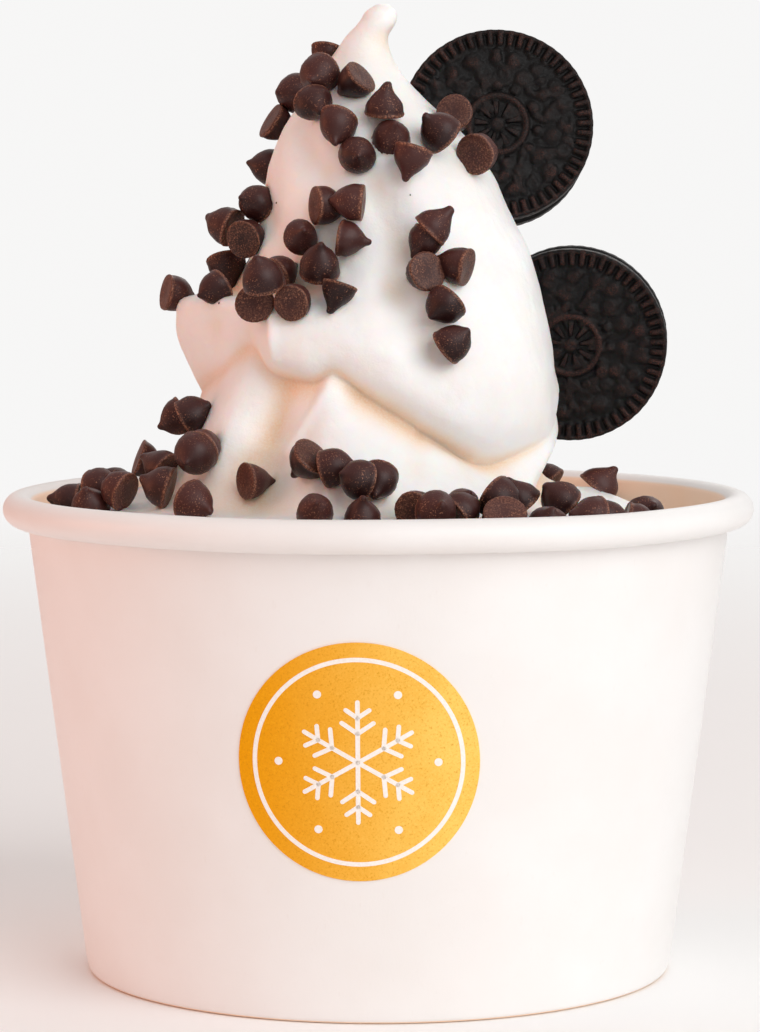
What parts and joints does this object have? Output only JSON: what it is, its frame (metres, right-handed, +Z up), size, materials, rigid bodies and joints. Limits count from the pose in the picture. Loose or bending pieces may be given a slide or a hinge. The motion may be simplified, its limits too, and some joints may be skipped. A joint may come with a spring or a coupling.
{
  "type": "frozen yogurt cup",
  "caption": "Rolled-rim paper tub of frozen yogurt: a tall soft-serve swirl studded with chocolate chips, with sandwich cookies pushed into its back and a round label on the front.",
  "frame": {"origin": "centre of the cup's base, on the surface it stands on", "axes": "+Z up along the cup's axis; -Y towards the labelled front; +X towards the side where the cookies are"},
  "size_m": [0.097, 0.097, 0.1245],
  "materials": {
    "cup paper": "smooth coated paperboard with a soft satin sheen, warm white",
    "label paper": "printed matte label, warm yellow-orange with a pale motif",
    "frozen yogurt": null,
    "dark chocolate": null,
    "cocoa wafer": null,
    "vanilla filling": null
  },
  "bodies": {
    "root": {"cup_wall": "cup paper", "cup_base": "cup paper", "label": "label paper", "yogurt": "frozen yogurt", "upper_cookie_front_wafer": "cocoa wafer", "upper_cookie_filling": "vanilla filling", "upper_cookie_back_wafer": "cocoa wafer", "lower_cookie_front_wafer": "cocoa wafer", "lower_cookie_filling": "vanilla filling", "lower_cookie_back_wafer": "cocoa wafer", "chip_01": "dark chocolate", "chip_02": "dark chocolate", "chip_03": "dark chocolate", "chip_04": "dark chocolate", "chip_05": "dark chocolate", "chip_06": "dark chocolate", "chip_07": "dark chocolate", "chip_08": "dark chocolate", "chip_09": "dark chocolate", "chip_10": "dark chocolate", "chip_11": "dark chocolate", "chip_12": "dark chocolate", "chip_13": "dark chocolate", "chip_14": "dark chocolate", "chip_15": "dark chocolate", "chip_16": "dark chocolate", "chip_17": "dark chocolate", "chip_18": "dark chocolate", "chip_19": "dark chocolate", "chip_20": "dark chocolate", "chip_21": "dark chocolate", "chip_22": "dark chocolate", "chip_23": "dark chocolate", "chip_24": "dark chocolate", "chip_25": "dark chocolate", "chip_26": "dark chocolate", "chip_27": "dark chocolate", "chip_28": "dark chocolate", "chip_29": "dark chocolate", "chip_30": "dark chocolate", "chip_31": "dark chocolate", "chip_32": "dark chocolate", "chip_33": "dark chocolate", "chip_34": "dark chocolate", "chip_35": "dark chocolate", "chip_36": "dark chocolate", "chip_37": "dark chocolate", "chip_38": "dark chocolate", "chip_39": "dark chocolate", "chip_40": "dark chocolate", "chip_41": "dark chocolate", "chip_42": "dark chocolate", "chip_43": "dark chocolate", "chip_44": "dark chocolate", "chip_45": "dark chocolate", "chip_46": "dark chocolate", "chip_47": "dark chocolate", "chip_48": "dark chocolate", "chip_49": "dark chocolate", "chip_50": "dark chocolate"}
  },
  "joints": []
}
